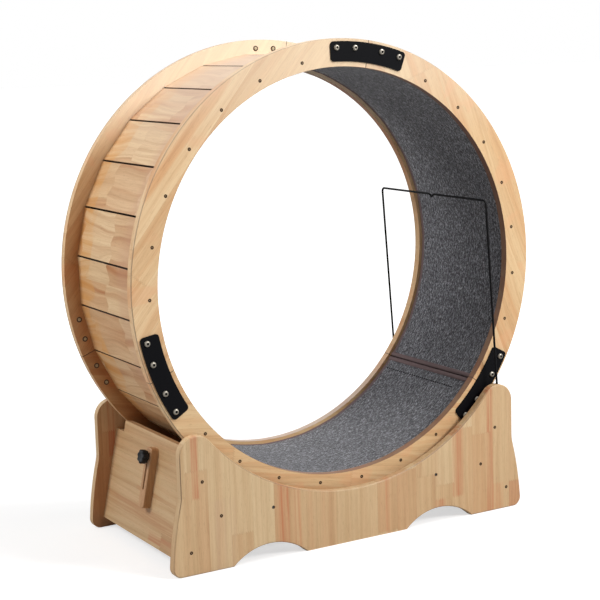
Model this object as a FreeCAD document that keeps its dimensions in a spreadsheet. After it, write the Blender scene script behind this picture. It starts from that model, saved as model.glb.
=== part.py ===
import FreeCAD, Part
import math
import os
import Sketcher

# Cat exercise wheel: a drum of two segmented wooden rings joined by slats, carpeted
# inside, turning on two roller shafts between two wooden side panels. A sliding
# stopper with a star knob brakes it, and a wire bail stands in the panel tops.
# Millimetres. The origin is on the floor under the wheel's centre, X along the base,
# Y along the wheel's axle line (the front is at -Y) and Z up.

os.makedirs("parts", exist_ok=True)
doc = FreeCAD.newDocument("cat_wheel")
V = FreeCAD.Vector
TURN = 360.0
HALF = 0.5

# ---------------------------------------------------------------- driving sizes
SIZES = (
    # wheel
    ("wheel_clearance", 88.0, "floor to the rings' lowest point"),
    ("wheel_joint_angle", 81.0, "direction of the first ring joint at rest"),
    ("wheel_segment_count", 3, "arc segments in each ring"),
    ("segment_slat_count", 9, "slats on each segment"),
    ("wheel_ring_radius", 500.0, "outer radius of the rings"),
    ("wheel_ring_band", 59.0, "width of the rings, rim to bore"),
    ("wheel_ring_board", 18.0, "thickness of the ring boards"),
    ("wheel_ring_edge", 1.5, "bevel on the ring's outer edge"),
    ("wheel_track", 330.0, "clear width between the rings"),
    ("wheel_joint_gap", 0.6, "gap between two ring segments"),
    ("slat_inset", 31.0, "ring's rim to the slats' outer corners"),
    ("slat_board", 12.0, "thickness of the slats"),
    ("slat_gap", 3.0, "gap between neighbouring slats"),
    ("slat_bevel", 1.2, "bevel on the slats' outer long edges"),
    ("carpet_pile", 6.0, "thickness of the carpet strip"),
    ("carpet_side_gap", 0.6, "carpet edge to ring"),
    ("carpet_seam_gap", 3.0, "gap between the strip's two ends"),
    # join plates and their bolts
    ("plate_margin", 6.0, "ring's rim to the join plates"),
    ("plate_band", 42.5, "width of the plates, outer to inner edge"),
    ("plate_half_angle", 11.25, "half of the angle a plate covers"),
    ("plate_gauge", 2.5, "thickness of the plates"),
    ("plate_corner", 8.0, "corner radius of the plates"),
    ("bolt_margin", 13.5, "plate's outer edge to the bolts"),
    ("bolt_inner_angle", 4.05, "inner bolts to the joint"),
    ("bolt_outer_angle", 9.55, "outer bolts to the joint"),
    ("bolt_head", 13.4, "width of the button heads"),
    ("bolt_head_sides", 10, "facets round a button head"),
    ("bolt_head_rise", 4.2, "height of the button heads"),
    ("nut_flange", 13.0, "width of the insert nuts' flanges"),
    ("nut_flange_sides", 8, "facets round a flange"),
    ("nut_flange_rise", 1.6, "height of the flanges"),
    # side panels
    ("panel_board", 18.0, "thickness of the side panels"),
    ("panel_ring_gap", 17.5, "ring face to panel"),
    ("panel_edge", 2.0, "bevel round the panel's outer face"),
    ("bay_cover", 30.0, "how far the panel's round bay covers the ring"),
    ("lobe_radius", 40.0, "radius of the ear at each end of the bay"),
    ("ear_inset", 114.0, "level from the ring's rim back to the ear's centre"),
    ("waist_radius", 65.0, "hollow under the ear"),
    ("flare_radius", 770.0, "swell of the panel's end"),
    ("flare_top_angle", 14.2, "slope where the hollow meets the swell"),
    ("flare_foot_angle", 4.1, "slope where the swell meets the foot"),
    ("foot_radius", 20.0, "rounding of the foot's corner"),
    ("arch_reach", 219.5, "centre plane to the middle of the foot arch"),
    ("arch_span", 177.0, "width of the foot arch"),
    ("arch_rise", 34.5, "height of the foot arch"),
    # end boards and braces
    ("end_board", 18.0, "thickness of the end boards"),
    ("end_tilt", 12.13, "lean of the end boards"),
    ("end_inset", 9.7, "level from the ear's centre to the end board's upper screw"),
    ("end_drop", 58.4, "ear's centre down to the end board's upper screw"),
    ("end_above", 54.0, "end board above its upper screw"),
    ("end_lift", 22.25, "floor to the end board's lower edge"),
    ("notch_sink", 26.0, "depth of the notch that clears the ring"),
    ("notch_play", 4.5, "notch to ring, along the board"),
    ("brace_inset", 51.0, "level from the ear's centre to the cross brace"),
    ("brace_height", 116.3, "floor to the cross brace"),
    ("brace_dowel", 25.0, "diameter of the cross brace"),
    # rollers
    ("roller_radius", 20.0, "tread radius of the rollers"),
    ("roller_flange", 4.0, "flange height over the tread"),
    ("roller_flange_gauge", 3.0, "thickness of a flange"),
    ("roller_side_play", 1.0, "ring face to flange"),
    ("roller_overhang", 5.0, "tread past the ring's outer face"),
    ("roller_ring_play", 0.3, "tread to ring"),
    ("roller_angle", 23.85, "direction of the roller shafts from straight down"),
    ("shaft_rod", 7.6, "diameter of the roller shafts"),
    ("shaft_play", 0.05, "shaft to its hole, all round"),
    ("shaft_end_sink", 2.0, "shaft end below the panel's face"),
    # brake
    ("brake_offset", 10.0, "brake's centre line forward of the middle"),
    ("stopper_width", 27.0, "width of the stopper block"),
    ("stopper_board", 18.0, "thickness of the stopper block"),
    ("stopper_above", 27.0, "stopper above the end board's upper screw"),
    ("stopper_length", 133.0, "length of the stopper block"),
    ("stopper_edge", 2.0, "bevel on the stopper's outer edges"),
    ("stopper_play", 0.1, "stopper to end board"),
    ("slot_width", 6.6, "width of the stopper's slot"),
    ("slot_travel", 69.5, "how far the stopper slides"),
    ("slot_end_play", 0.1, "stud to slot end past the travel"),
    ("stud_above", 6.0, "stud above the end board's upper screw"),
    ("stud_shank", 6.0, "stud diameter"),
    ("stud_head", 10.0, "stud's head across its flats"),
    ("stud_head_rise", 3.4, "height of the stud's head"),
    ("stud_grip", 15.0, "stud inside the knob"),
    ("stud_play", 0.1, "bores' diameter over the stud's"),
    ("knob_play", 0.3, "knob to stopper, loosened"),
    ("knob_hub", 17.0, "width of the knob's hub"),
    ("knob_hub_sides", 12, "facets round the hub"),
    ("knob_hub_rise", 4.0, "height of the knob's hub"),
    ("knob_star", 31.0, "diameter over the knob's lobes"),
    ("knob_star_rise", 14.0, "height of the knob's star"),
    ("knob_lobe_count", 7, "lobes of the knob"),
    ("knob_scallop", 4.6, "radius of the hollows between lobes"),
    ("knob_scallop_reach", 17.6, "knob's axis to a hollow's centre"),
    # wire bail
    ("bail_wire", 5.0, "width of the bail's wire"),
    ("bail_sides", 6, "facets round the bail's wire"),
    ("bail_outset", 4.4, "ear's centre to the bail's hole mouth"),
    ("bail_tilt", 3.66, "lean of the bail"),
    ("bail_rise", 424.5, "hole mouth to the cross bar"),
    ("bail_sink", 55.0, "leg inside the panel"),
    ("bail_hole_play", 0.16, "hole's diameter over the wire's"),
    ("bail_bend", 12.0, "bend radius at the upper corners"),
    ("bail_dip", 6.0, "depth of the dip"),
    ("bail_dip_half", 8.0, "half width of the dip"),
)

sheet = doc.addObject("Spreadsheet::Sheet", "Sizes")
for row, (alias, value, meaning) in enumerate(SIZES, start=1):
    sheet.set("A%d" % row, meaning)
    sheet.set("B%d" % row, str(value))
    sheet.setAlias("B%d" % row, alias)
doc.recompute()


def size(alias):
    return float(sheet.get(alias))


def count(alias):
    return int(round(size(alias)))


# ---------------------------------------------------------------- drawing helpers
def polar(radius, degrees):
    return (radius * math.cos(math.radians(degrees)), radius * math.sin(math.radians(degrees)))


def tan(degrees):
    return math.tan(math.radians(degrees))


def newBody(name):
    body = doc.addObject("PartDesign::Body", name)
    body.Label = name
    return body


def originPlane(body, role):
    return [item for item in body.Origin.OriginFeatures if item.Role == role][0]


def newSketch(body, name, role, lift=None):
    """A sketch on one of the body's origin planes, lifted along its normal by a sheet formula."""
    sketch = body.newObject("Sketcher::SketchObject", name)
    sketch.AttachmentSupport = [(originPlane(body, role), "")]
    sketch.MapMode = "FlatFace"
    if lift:
        sketch.setExpression("AttachmentOffset.Base.z", lift)
    return sketch


def flat(point):
    return V(point[0], point[1], 0)


def arcThrough(start, middle, end):
    """The arc through three points, kept counter-clockwise, and whether the path runs that way."""
    circle = Part.Circle(flat(start), flat(middle), flat(end))
    leftward = (flat(middle) - flat(start)).cross(flat(end) - flat(middle)).z > 0
    first, last = (start, end) if leftward else (end, start)
    angles = [math.atan2(point[1] - circle.Center.y, point[0] - circle.Center.x) for point in (first, last)]
    if angles[1] < angles[0]:
        angles[1] += 2 * math.pi
    upright = Part.Circle(circle.Center, V(0, 0, 1), circle.Radius)
    return Part.ArcOfCircle(upright, *angles), leftward


def addOutline(sketch, pieces, closed=True):
    """Lines (a, b) and arcs (a, middle, b), each starting where the one before ends."""
    first = None
    last = None
    for piece in pieces:
        if len(piece) == 2:
            curve = Part.LineSegment(flat(piece[0]), flat(piece[1]))
            ends = (1, 2)
        else:
            curve, leftward = arcThrough(*piece)
            ends = (1, 2) if leftward else (2, 1)
        index = sketch.addGeometry(curve)
        if last is not None:
            sketch.addConstraint(Sketcher.Constraint("Coincident", last[0], last[1], index, ends[0]))
        if first is None:
            first = (index, ends[0])
        last = (index, ends[1])
        sketch.addConstraint(Sketcher.Constraint("Block", index))
    if closed:
        sketch.addConstraint(Sketcher.Constraint("Coincident", last[0], last[1], *first))


def addCircle(sketch, centre, diameter):
    """A circle whose diameter is a sheet formula."""
    index = sketch.addGeometry(Part.Circle(flat(centre), V(0, 0, 1), 1.0))
    for kind, value in (("DistanceX", centre[0]), ("DistanceY", centre[1])):
        if abs(value) > 1e-9:
            sketch.addConstraint(Sketcher.Constraint(kind, -1, 1, index, 3, value))
        else:
            axis = -2 if kind == "DistanceX" else -1
            sketch.addConstraint(Sketcher.Constraint("PointOnObject", index, 3, axis))
    rule = sketch.addConstraint(Sketcher.Constraint("Diameter", index, 2.0))
    sketch.setExpression("Constraints[%d]" % rule, diameter)


def polyline(points):
    return [(points[i], points[(i + 1) % len(points)]) for i in range(len(points))]


def pad(body, sketch, length, symmetric=False, reverse=False):
    feature = body.newObject("PartDesign::Pad", sketch.Name + "_pad")
    feature.Profile = sketch
    feature.SideType = "Symmetric" if symmetric else "One side"
    feature.Reversed = reverse
    feature.setExpression("Length", length)
    doc.recompute()
    return feature


def pocket(body, sketch, depth=None, reverse=False):
    """A pocket to a sheet formula's depth, or through all, which has to remove material."""
    before = body.Shape.Volume
    feature = body.newObject("PartDesign::Pocket", sketch.Name + "_pocket")
    feature.Profile = sketch
    feature.Reversed = reverse
    if depth is None:
        feature.Type = "ThroughAll"
    else:
        feature.setExpression("Length", depth)
    doc.recompute()
    assert body.Shape.Volume < before, sketch.Name + " cuts nothing"
    return feature


def revolve(body, sketch):
    feature = body.newObject("PartDesign::Revolution", sketch.Name + "_turn")
    feature.Profile = sketch
    feature.ReferenceAxis = (sketch, ["V_Axis"])
    feature.Angle = TURN
    doc.recompute()
    return feature


def edgesWhere(shape, test):
    return ["Edge%d" % (i + 1) for i, edge in enumerate(shape.Edges) if test(edge)]


def along(edge, direction):
    if not isinstance(edge.Curve, Part.Line):
        return False
    return abs(edge.tangentAt(edge.FirstParameter).dot(direction)) > 1 - 1e-6


def dress(body, kind, base, names, width):
    """A fillet (Radius) or chamfer (Size) on the named edges of a feature."""
    feature = body.newObject("PartDesign::" + kind, "%s_%s" % (body.Name, kind.lower()))
    feature.Base = (base, names)
    feature.setExpression("Radius" if kind == "Fillet" else "Size", width)
    doc.recompute()
    return feature


def spin(degrees):
    """A turn seen from the front, counter-clockwise."""
    return FreeCAD.Rotation(V(0, -1, 0), degrees)


def lean(degrees):
    return FreeCAD.Rotation(V(0, 1, 0), degrees)


def place(body, base, rotation=None):
    body.Placement = FreeCAD.Placement(base, rotation or FreeCAD.Rotation())


def group(name, template, placements):
    """One node that holds a copy of the template's solid at every placement."""
    node = doc.addObject("Part::Feature", name)
    copies = []
    for placement in placements:
        solid = template.Shape.copy()
        solid.Placement = placement
        copies.append(solid)
    node.Shape = Part.makeCompound(copies)
    node.Label = name
    return node


nodes = []

# ---------------------------------------------------------------- common places
ringRadius = size("wheel_ring_radius")
wheelHeight = ringRadius + size("wheel_clearance")
ringInside = HALF * size("wheel_track")
ringOutside = ringInside + size("wheel_ring_board")
panelInside = ringOutside + size("panel_ring_gap")
panelOutside = panelInside + size("panel_board")
segmentCount = count("wheel_segment_count")
slatCount = segmentCount * count("segment_slat_count")
segmentAngle = TURN / segmentCount
slatAngle = TURN / slatCount
jointAngles = [size("wheel_joint_angle") + i * segmentAngle for i in range(segmentCount)]
boltAngles = [side * size(name) for side in (-1, 1) for name in ("bolt_inner_angle", "bolt_outer_angle")]
wheelCentre = V(0, 0, wheelHeight)
facings = (("front", -1), ("back", 1))


# ---------------------------------------------------------------- ring segments
def ringSegment(name, side, joint):
    """An arc of the ring board, its outer edge eased on the side that shows."""
    body = newBody(name)
    trim = math.degrees(HALF * size("wheel_joint_gap") / ringRadius)
    start, end = trim, segmentAngle - trim
    middle = HALF * (start + end)
    outer, inner = ringRadius, ringRadius - size("wheel_ring_band")
    board = newSketch(body, name + "_board", "XZ_Plane")
    addOutline(board, [
        (polar(outer, start), polar(outer, middle), polar(outer, end)),
        (polar(outer, end), polar(inner, end)),
        (polar(inner, end), polar(inner, middle), polar(inner, start)),
        (polar(inner, start), polar(outer, start)),
    ])
    base = pad(body, board, "Sizes.wheel_ring_board")
    outward = -size("wheel_ring_board") if side < 0 else 0
    rims = edgesWhere(base.Shape, lambda edge: isinstance(edge.Curve, Part.Circle)
                      and abs(edge.Curve.Radius - outer) < 1e-3
                      and abs(edge.CenterOfMass.y - outward) < 1e-3)
    dress(body, "Chamfer", base, rims, "Sizes.wheel_ring_edge")
    place(body, wheelCentre + V(0, -ringInside if side < 0 else ringOutside, 0), spin(joint))
    nodes.append(body)


for facing, side in facings:
    for number, joint in enumerate(jointAngles, start=1):
        ringSegment("ring_%s_%d" % (facing, number), side, joint)

# ---------------------------------------------------------------- slats
slatOut = (ringRadius - size("slat_inset")) * math.cos(math.radians(HALF * slatAngle))
slatIn = slatOut - size("slat_board")


def slat(name, angle):
    """A bevelled board across the track, its sides on the planes between neighbours."""
    body = newBody(name)
    slope = tan(HALF * slatAngle)
    spare = HALF * size("slat_gap")
    outer, inner = slatOut * slope - spare, slatIn * slope - spare
    section = newSketch(body, name + "_section", "XZ_Plane")
    addOutline(section, polyline([(-inner, slatIn), (inner, slatIn), (outer, slatOut), (-outer, slatOut)]))
    base = pad(body, section, "Sizes.wheel_track", symmetric=True)
    rims = edgesWhere(base.Shape, lambda edge: along(edge, V(0, 1, 0))
                      and abs(edge.CenterOfMass.z - slatOut) < 1e-3)
    dress(body, "Chamfer", base, rims, "Sizes.slat_bevel")
    place(body, wheelCentre, spin(angle - TURN / 4))
    nodes.append(body)


for number in range(slatCount):
    slat("slat_%02d" % (number + 1), jointAngles[0] + (number + HALF) * slatAngle)


# ---------------------------------------------------------------- carpet
def carpet():
    """A strip laid flat on every slat, its two ends meeting at the last ring joint."""
    body = newBody("carpet")
    pile = size("carpet_pile")
    corner = slatIn / math.cos(math.radians(HALF * slatAngle))
    under = [polar(corner, i * slatAngle) for i in range(slatCount + 1)]
    over = [polar(corner - pile / math.cos(math.radians(HALF * slatAngle)), i * slatAngle)
            for i in range(slatCount + 1)]
    spare = HALF * size("carpet_seam_gap")

    def slid(points, near, far, facet):
        """The point of a facet's line that stands off the seam, square to the facet."""
        direction = polar(1.0, (facet + HALF) * slatAngle + math.copysign(TURN / 4, far - near))
        foot = polar(corner, near * slatAngle)
        shift = spare + (direction[0] * (foot[0] - points[near][0]) + direction[1] * (foot[1] - points[near][1]))
        return (points[near][0] + shift * direction[0], points[near][1] + shift * direction[1])

    for points in (under, over):
        points[0], points[-1] = (slid(points, 0, 1, 0), slid(points, slatCount, slatCount - 1, slatCount - 1))
    strip = newSketch(body, "carpet_strip", "XZ_Plane")
    addOutline(strip, polyline(under + over[::-1]))
    pad(body, strip, "Sizes.wheel_track - 2 * Sizes.carpet_side_gap", symmetric=True)
    place(body, wheelCentre, spin(jointAngles[-1]))
    nodes.append(body)


carpet()


# ---------------------------------------------------------------- join plates
plateOutside = ringRadius - size("plate_margin")
boltCircle = plateOutside - size("bolt_margin")


def joinPlate(name, side, joint):
    body = newBody(name)
    span = size("plate_half_angle")
    inner, outer = plateOutside - size("plate_band"), plateOutside
    outline = newSketch(body, name + "_outline", "XZ_Plane")
    addOutline(outline, [
        (polar(outer, -span), polar(outer, 0), polar(outer, span)),
        (polar(outer, span), polar(inner, span)),
        (polar(inner, span), polar(inner, 0), polar(inner, -span)),
        (polar(inner, -span), polar(outer, -span)),
    ])
    base = pad(body, outline, "Sizes.plate_gauge")
    corners = edgesWhere(base.Shape, lambda edge: along(edge, V(0, 1, 0)))
    dress(body, "Fillet", base, corners, "Sizes.plate_corner")
    seat = -ringOutside if side < 0 else ringOutside + size("plate_gauge")
    place(body, wheelCentre + V(0, seat, 0), spin(joint))
    nodes.append(body)


for facing, side in facings:
    for number, joint in enumerate(jointAngles, start=1):
        joinPlate("join_plate_%s_%d" % (facing, number), side, joint)


# ---------------------------------------------------------------- plate bolts and nuts
def polygon(width, sides, centre=(0, 0), overCorners=False):
    """A regular polygon of the width given, over its flats or its corners."""
    reach = HALF * width / (1 if overCorners else math.cos(math.pi / sides))
    corners = [polar(reach, (i + HALF) * TURN / sides) for i in range(sides)]
    return polyline([(centre[0] + x, centre[1] + y) for x, y in corners])


bolt = newBody("bolt_form")
boltOutline = newSketch(bolt, "bolt_outline", "XY_Plane")
addOutline(boltOutline, polygon(size("bolt_head"), count("bolt_head_sides")))
pad(bolt, boltOutline, "Sizes.bolt_head_rise")

nut = newBody("nut_form")
nutOutline = newSketch(nut, "nut_outline", "XY_Plane")
addOutline(nutOutline, polygon(size("nut_flange"), count("nut_flange_sides")))
pad(nut, nutOutline, "Sizes.nut_flange_rise")


def onRing(radius, degrees, y):
    x, z = polar(radius, degrees)
    return V(x, y, wheelHeight + z)


boltPlaces = []
nutPlaces = []
for facing, side in facings:
    outward = FreeCAD.Rotation(V(0, 0, 1), V(0, side, 0))
    inward = FreeCAD.Rotation(V(0, 0, 1), V(0, -side, 0))
    for joint in jointAngles:
        for angle in boltAngles:
            seat = side * (ringOutside + size("plate_gauge"))
            boltPlaces.append(FreeCAD.Placement(onRing(boltCircle, joint + angle, seat), outward))
            nutPlaces.append(FreeCAD.Placement(onRing(boltCircle, joint + angle, side * ringInside), inward))
nodes.append(group("plate_bolts", bolt, boltPlaces))
nodes.append(group("plate_nuts", nut, nutPlaces))

# ---------------------------------------------------------------- side panels
bayRadius = ringRadius - size("bay_cover")
earReach = ringRadius - size("ear_inset")
ear = (earReach, wheelHeight - math.sqrt((bayRadius + size("lobe_radius")) ** 2 - earReach ** 2))
mouth = (ear[0] + size("bail_outset"),
         ear[1] + math.sqrt(size("lobe_radius") ** 2 - size("bail_outset") ** 2))
rollerDrop = polar(ringRadius + size("roller_ring_play") + size("roller_radius"),
                   size("roller_angle") - TURN / 4)
roller = (rollerDrop[0], wheelHeight + rollerDrop[1])
brace = (ear[0] - size("brace_inset"), size("brace_height"))
endLine = (ear[0] - size("end_inset"), ear[1] - size("end_drop"))


def panelHalf():
    """Right half of the panel's outline, from the foot of the bay round the ear to the floor's middle."""
    toEar = math.degrees(math.atan2(ear[1] - wheelHeight, ear[0]))

    def at(centre, radius, degrees):
        x, z = polar(radius, degrees)
        return (centre[0] + x, centre[1] + z)

    bay = (0, wheelHeight)
    lobe, waist = size("lobe_radius"), size("waist_radius")
    flare, foot = size("flare_radius"), size("foot_radius")
    top, low = size("flare_top_angle"), size("flare_foot_angle")
    side = ear[0] + lobe
    footTop = foot * (1 + math.sin(math.radians(low)))
    flareDrop = flare * (math.sin(math.radians(top)) - math.sin(math.radians(low)))
    waistDrop = waist * math.sin(math.radians(top))
    waistTop = footTop + flareDrop + waistDrop
    hollow = (side + waist, waistTop)
    swellStart = at(hollow, waist, TURN / 2 + top)
    swell = (swellStart[0] - flare * math.cos(math.radians(top)),
             swellStart[1] - flare * math.sin(math.radians(top)))
    swellEnd = at(swell, flare, low)
    corner = (swellEnd[0] - foot * math.cos(math.radians(low)), foot)
    reach, span, rise = size("arch_reach"), HALF * size("arch_span"), size("arch_rise")
    bayFoot = -TURN / 4
    return [
        (at(bay, bayRadius, bayFoot), at(bay, bayRadius, HALF * (bayFoot + toEar)),
         at(bay, bayRadius, toEar)),
        (at(ear, lobe, toEar + TURN / 2), at(ear, lobe, HALF * (toEar + TURN / 2)), at(ear, lobe, 0)),
        ((side, ear[1]), (side, waistTop)),
        ((side, waistTop), at(hollow, waist, TURN / 2 + HALF * top), swellStart),
        (swellStart, at(swell, flare, HALF * (top + low)), swellEnd),
        (swellEnd, at(corner, foot, HALF * (low - TURN / 4)), (corner[0], 0)),
        ((corner[0], 0), (reach + span, 0)),
        ((reach + span, 0), (reach, rise), (reach - span, 0)),
        ((reach - span, 0), (0, 0)),
    ]


def mirrored(pieces):
    return [tuple((-point[0], point[1]) for point in reversed(piece)) for piece in reversed(pieces)]


def joinMiddle(pieces):
    """The half and its mirror as one loop, with the bay and the floor run on as single edges."""
    other = mirrored(pieces)
    bay = (other[-1][0], pieces[0][0], pieces[0][2])
    floor = (pieces[-1][0], other[0][1])
    return [bay] + pieces[1:-1] + [floor] + other[1:-1]


def sidePanel(name, side):
    body = newBody(name)
    outline = newSketch(body, name + "_outline", "XZ_Plane")
    addOutline(outline, joinMiddle(panelHalf()))
    base = pad(body, outline, "Sizes.panel_board")
    depth = size("panel_board")
    rim = edgesWhere(base.Shape, lambda edge: abs(edge.CenterOfMass.y + depth) < 1e-6
                     and edge.BoundBox.ZMax > 1e-3)
    dress(body, "Chamfer", base, rim, "Sizes.panel_edge")
    bearings = newSketch(body, name + "_bearings", "XZ_Plane")
    for hand in (-1, 1):
        addCircle(bearings, (hand * roller[0], roller[1]), "Sizes.shaft_rod + 2 * Sizes.shaft_play")
    pocket(body, bearings, reverse=True)
    before = body.Shape.Volume
    drill = body.newObject("PartDesign::SubtractiveCylinder", name + "_bail_hole")
    drill.setExpression("Radius", "(Sizes.bail_wire + Sizes.bail_hole_play) / 2")
    drill.setExpression("Height", "Sizes.bail_sink + 2 * Sizes.lobe_radius")
    hand = -side
    down = lean(-hand * size("bail_tilt"))
    drill.Placement = FreeCAD.Placement(
        V(hand * mouth[0], -HALF * depth, mouth[1])
        + down.multVec(V(0, 0, -size("bail_sink"))), down)
    doc.recompute()
    assert body.Shape.Volume < before, "the bail's hole cuts nothing"
    if side < 0:
        place(body, V(0, -panelInside, 0))
    else:
        place(body, V(0, panelInside, 0), FreeCAD.Rotation(V(0, 0, 1), TURN / 2))
    nodes.append(body)


for facing, side in facings:
    sidePanel("panel_" + facing, side)


# ---------------------------------------------------------------- end boards
def boardPlacement(hand):
    """The board's frame: local Z up its face and local Y across, from the upper screws' line."""
    return FreeCAD.Placement(V(hand * endLine[0], 0, endLine[1]),
                             lean(-hand * size("end_tilt")))


def endBoard(name, hand, studded):
    body = newBody(name)
    wide, narrow = panelInside, ringInside - size("notch_play")
    top = size("end_above")
    foot = (size("end_lift") - endLine[1]) / math.cos(math.radians(size("end_tilt")))
    shoulder = top - size("notch_sink")
    face = newSketch(body, name + "_face", "YZ_Plane")
    addOutline(face, polyline([(-wide, foot), (wide, foot), (wide, shoulder), (narrow, shoulder),
                               (narrow, top), (-narrow, top), (-narrow, shoulder), (-wide, shoulder)]))
    pad(body, face, "Sizes.end_board", symmetric=True)
    if studded:
        hole = newSketch(body, name + "_stud_hole", "YZ_Plane", "-Sizes.end_board")
        addCircle(hole, (-size("brake_offset"), size("stud_above")), "Sizes.stud_shank + Sizes.stud_play")
        pocket(body, hole, reverse=True)
    body.Placement = boardPlacement(hand)
    nodes.append(body)


endBoard("end_board_left", -1, True)
endBoard("end_board_right", 1, False)


# ---------------------------------------------------------------- cross braces
def crossBrace(name, hand):
    body = newBody(name)
    section = newSketch(body, name + "_section", "XZ_Plane")
    addCircle(section, (0, 0), "Sizes.brace_dowel")
    pad(body, section, "Sizes.wheel_track + 2 * (Sizes.wheel_ring_board + Sizes.panel_ring_gap)",
        symmetric=True)
    place(body, V(hand * brace[0], 0, brace[1]))
    nodes.append(body)


crossBrace("cross_brace_left", -1)
crossBrace("cross_brace_right", 1)

# ---------------------------------------------------------------- roller shafts
def rollerShaft(name, hand):
    """A rod with a roller near each end; the flanges run inside the rings and keep the wheel between."""
    body = newBody(name)
    rod, tread = HALF * size("shaft_rod"), size("roller_radius")
    rim = tread + size("roller_flange")
    near, far = ringInside - size("roller_side_play"), ringOutside + size("roller_overhang")
    end = panelOutside - size("shaft_end_sink")
    upper = [(rod, near - size("roller_flange_gauge")), (rim, near - size("roller_flange_gauge")),
             (rim, near), (tread, near), (tread, far), (rod, far), (rod, end)]
    lower = [(x, -y) for x, y in reversed(upper)]
    turn = newSketch(body, name + "_turn", "XY_Plane")
    addOutline(turn, polyline([(0, -end)] + lower + upper + [(0, end)]))
    revolve(body, turn)
    place(body, V(hand * roller[0], 0, roller[1]))
    nodes.append(body)


rollerShaft("roller_shaft_left", -1)
rollerShaft("roller_shaft_right", 1)


# ---------------------------------------------------------------- brake
def brakeParts():
    """Stopper, stud and knob, all in the left end board's frame, where outward is local -X."""
    face = -HALF * size("end_board") - size("stopper_play")
    centre = -size("brake_offset")
    half = HALF * size("stopper_width")
    top = size("stopper_above")
    foot = top - size("stopper_length")
    stopper = newBody("brake_stopper")
    block = newSketch(stopper, "stopper_block", "YZ_Plane", "-Sizes.end_board / 2 - Sizes.stopper_play")
    addOutline(block, polyline([(centre - half, foot), (centre + half, foot),
                                (centre + half, top), (centre - half, top)]))
    base = pad(stopper, block, "Sizes.stopper_board", reverse=True)
    front = face - size("stopper_board")
    rim = edgesWhere(base.Shape, lambda edge: abs(edge.CenterOfMass.x - front) < 1e-6)
    dress(stopper, "Chamfer", base, rim, "Sizes.stopper_edge")
    width = HALF * size("slot_width")
    high = size("stud_above") + size("slot_end_play")
    low = size("stud_above") - size("slot_travel") - size("slot_end_play")
    slot = newSketch(stopper, "stopper_slot", "YZ_Plane", "-Sizes.end_board - Sizes.stopper_board")
    addOutline(slot, [
        ((centre + width, low), (centre + width, high)),
        ((centre + width, high), (centre, high + width), (centre - width, high)),
        ((centre - width, high), (centre - width, low)),
        ((centre - width, low), (centre, low - width), (centre + width, low)),
    ])
    pocket(stopper, slot, reverse=True)
    stopper.Placement = boardPlacement(-1)
    nodes.append(stopper)

    knobSeat = HALF * size("end_board") + size("stopper_play") + size("stopper_board") + size("knob_play")
    frame = boardPlacement(-1)
    axis = FreeCAD.Placement(V(0, centre, size("stud_above")), FreeCAD.Rotation(V(0, 0, 1), V(-1, 0, 0)))
    onBoard = frame.multiply(axis)

    stud = newBody("brake_stud")
    under = HALF * size("end_board")
    head = newSketch(stud, "stud_head", "XY_Plane", "-Sizes.end_board / 2")
    addOutline(head, polygon(size("stud_head"), 6))
    pad(stud, head, "Sizes.stud_head_rise", reverse=True)
    shank = newSketch(stud, "stud_shank", "XY_Plane", "-Sizes.end_board / 2")
    addCircle(shank, (0, 0), "Sizes.stud_shank")
    pad(stud, shank, "Sizes.stud_grip + %.4f" % (under + knobSeat))
    stud.Placement = onBoard
    nodes.append(stud)

    knob = newBody("brake_knob")
    seat = "%.4f" % knobSeat
    hub = newSketch(knob, "knob_hub", "XY_Plane", seat)
    addOutline(hub, polygon(size("knob_hub"), count("knob_hub_sides")))
    pad(knob, hub, "Sizes.knob_hub_rise")
    star = newSketch(knob, "knob_star", "XY_Plane", seat + " + Sizes.knob_hub_rise")
    addCircle(star, (0, 0), "Sizes.knob_star")
    pad(knob, star, "Sizes.knob_star_rise")
    hollow = newSketch(knob, "knob_hollow", "XY_Plane", seat + " + Sizes.knob_hub_rise")
    addCircle(hollow, (size("knob_scallop_reach"), 0), "2 * Sizes.knob_scallop")
    cut = pocket(knob, hollow, reverse=True)
    before = knob.Shape.Volume
    ring = knob.newObject("PartDesign::PolarPattern", "knob_lobes")
    ring.Originals = [cut]
    ring.Axis = (hollow, ["N_Axis"])
    ring.Angle = TURN
    ring.setExpression("Occurrences", "Sizes.knob_lobe_count")
    knob.Tip = ring
    doc.recompute()
    assert knob.Shape.Volume < before, "the knob's hollows aren't repeated"
    bore = newSketch(knob, "knob_bore", "XY_Plane", seat)
    addCircle(bore, (0, 0), "Sizes.stud_shank + Sizes.stud_play")
    pocket(knob, bore, "Sizes.stud_grip + Sizes.knob_play", reverse=True)
    knob.Placement = onBoard
    nodes.append(knob)


brakeParts()


# ---------------------------------------------------------------- wire bail
def bent(points, radii):
    """A path of straight runs through the points, with a tangent arc wherever a radius is given."""
    pieces = []
    start = points[0]
    for before, point, after, radius in zip(points, points[1:], points[2:], radii):
        if not radius:
            pieces.append((start, point))
            start = point
            continue
        into = flat(point) - flat(before)
        out = flat(after) - flat(point)
        into.normalize()
        out.normalize()
        turn = into.getAngle(out)
        reach = radius * math.tan(HALF * turn)
        first = flat(point) - into * reach
        last = flat(point) + out * reach
        inward = (out - into).normalize()
        middle = flat(point) + inward * (radius / math.cos(HALF * turn) - radius)
        pieces.append((start, (first.x, first.y)))
        pieces.append(((first.x, first.y), (middle.x, middle.y), (last.x, last.y)))
        start = (last.x, last.y)
    pieces.append((start, points[-1]))
    return pieces


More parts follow.
